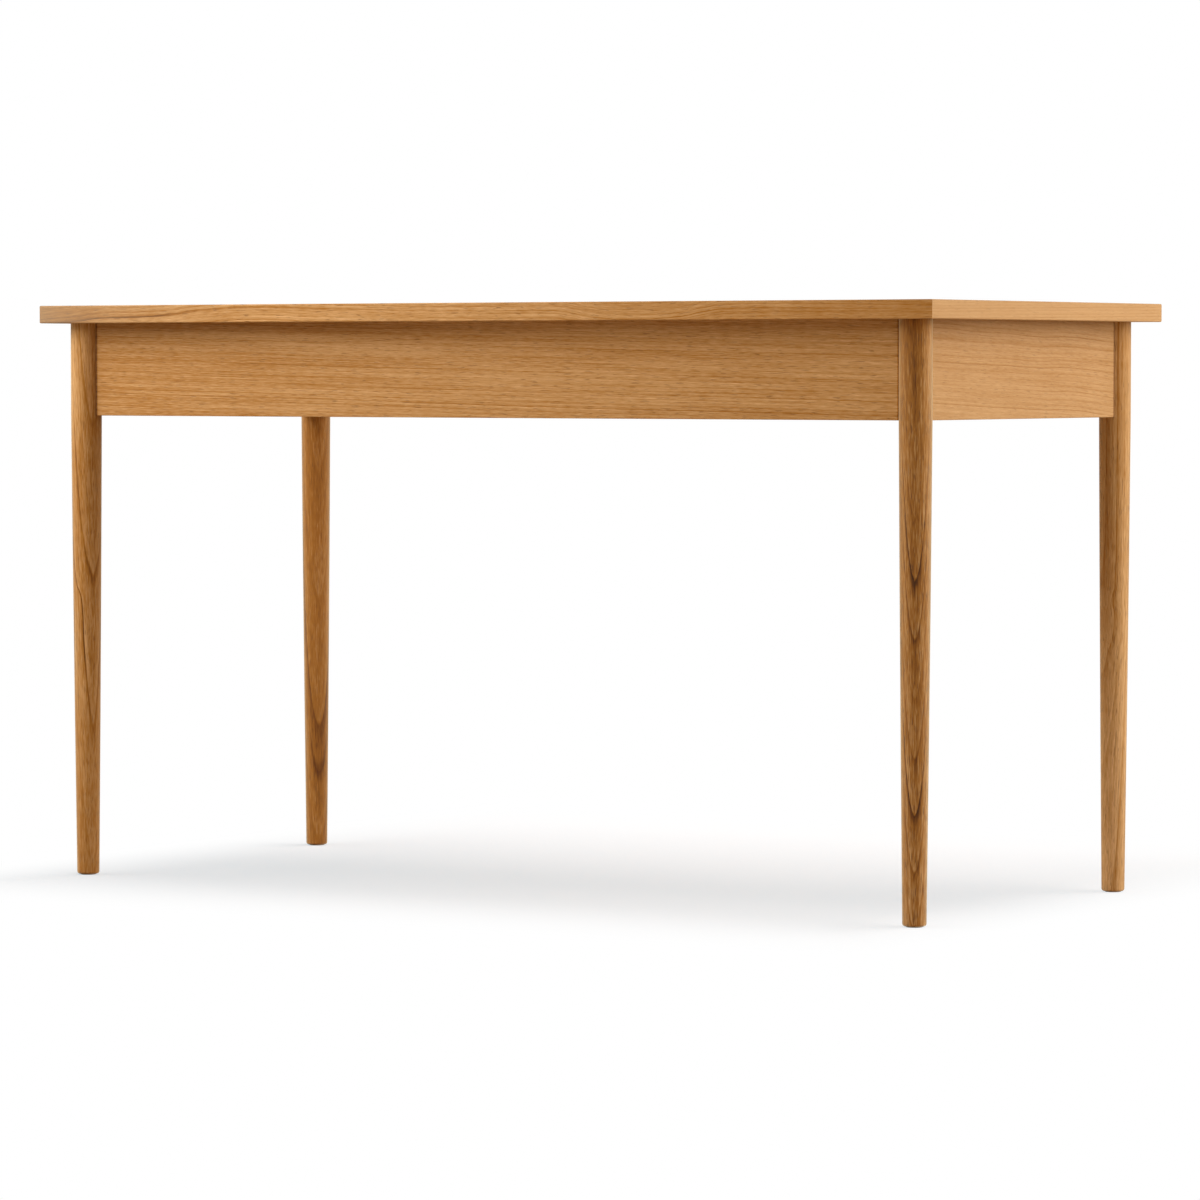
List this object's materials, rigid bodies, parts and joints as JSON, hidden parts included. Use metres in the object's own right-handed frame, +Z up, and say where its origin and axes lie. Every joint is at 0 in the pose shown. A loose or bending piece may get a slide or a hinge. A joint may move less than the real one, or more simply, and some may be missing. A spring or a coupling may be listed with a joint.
{
  "type": "writing desk",
  "caption": "Teak writing desk with a lipped rectangular top, turned tapered legs, plain aprons and drawers that slide out of a front frame.",
  "frame": {"origin": "on the floor, under the middle of the top", "axes": "+Z up, +X along the top to the sitter's right, +Y from the drawer front to the back apron"},
  "size_m": [1.34, 0.6, 0.75],
  "materials": {
    "top_veneer": "oiled teak veneer",
    "lipping_teak": "oiled solid teak",
    "leg_teak": "oiled solid teak, turned",
    "apron_veneer": "oiled teak veneer",
    "front_teak": "oiled solid teak",
    "drawer_beech": "sanded beech",
    "drawer_plywood": "sanded birch plywood",
    "frame_beech": "planed beech",
    "zinc_steel": "zinc plated",
    "glide_nylon": "moulded nylon"
  },
  "bodies": {
    "desk_frame": {"back_apron": "apron_veneer", "block_screws": "zinc_steel", "bolt_nuts": "zinc_steel", "bolt_washers": "zinc_steel", "closing_stops": "frame_beech", "corner_block_back_left": "frame_beech", "corner_block_back_right": "frame_beech", "corner_block_front_left": "frame_beech", "corner_block_front_right": "frame_beech", "foot_glides": "glide_nylon", "front_bottom_rail": "front_teak", "front_top_rail": "front_teak", "hanger_bolts": "zinc_steel", "joint_dowels": "frame_beech", "left_apron": "apron_veneer", "left_centre_kicker": "frame_beech", "left_centre_runner": "frame_beech", "left_divider": "front_teak", "left_end_kicker": "frame_beech", "left_end_runner": "frame_beech", "left_end_stile": "front_teak", "leg_back_left": "leg_teak", "leg_back_right": "leg_teak", "leg_front_left": "leg_teak", "leg_front_right": "leg_teak", "opening_stops": "frame_beech", "right_apron": "apron_veneer", "right_centre_kicker": "frame_beech", "right_centre_runner": "frame_beech", "right_divider": "front_teak", "right_end_kicker": "frame_beech", "right_end_runner": "frame_beech", "right_end_stile": "front_teak", "top_lipping_back": "lipping_teak", "top_lipping_front": "lipping_teak", "top_lipping_left": "lipping_teak", "top_lipping_right": "lipping_teak", "top_panel": "top_veneer", "top_screws": "zinc_steel"},
    "left_drawer": {"left_drawer_back": "drawer_beech", "left_drawer_bottom": "drawer_plywood", "left_drawer_front": "front_teak", "left_drawer_knob": "front_teak", "left_drawer_knob_screw": "zinc_steel", "left_drawer_left_side": "drawer_beech", "left_drawer_right_side": "drawer_beech"},
    "centre_drawer": {"centre_drawer_back": "drawer_beech", "centre_drawer_bottom": "drawer_plywood", "centre_drawer_front": "front_teak", "centre_drawer_knob": "front_teak", "centre_drawer_knob_screw": "zinc_steel", "centre_drawer_left_side": "drawer_beech", "centre_drawer_right_side": "drawer_beech"},
    "right_drawer": {"right_drawer_back": "drawer_beech", "right_drawer_bottom": "drawer_plywood", "right_drawer_front": "front_teak", "right_drawer_knob": "front_teak", "right_drawer_knob_screw": "zinc_steel", "right_drawer_left_side": "drawer_beech", "right_drawer_right_side": "drawer_beech"}
  },
  "joints": [
    {"name": "left_drawer_slide", "type": "slide", "parent": "desk_frame", "child": "left_drawer", "axis": [0, -1, 0], "range_m": [0, 0.32]},
    {"name": "centre_drawer_slide", "type": "slide", "parent": "desk_frame", "child": "centre_drawer", "axis": [0, -1, 0], "range_m": [0, 0.32]},
    {"name": "right_drawer_slide", "type": "slide", "parent": "desk_frame", "child": "right_drawer", "axis": [0, -1, 0], "range_m": [0, 0.32]}
  ]
}
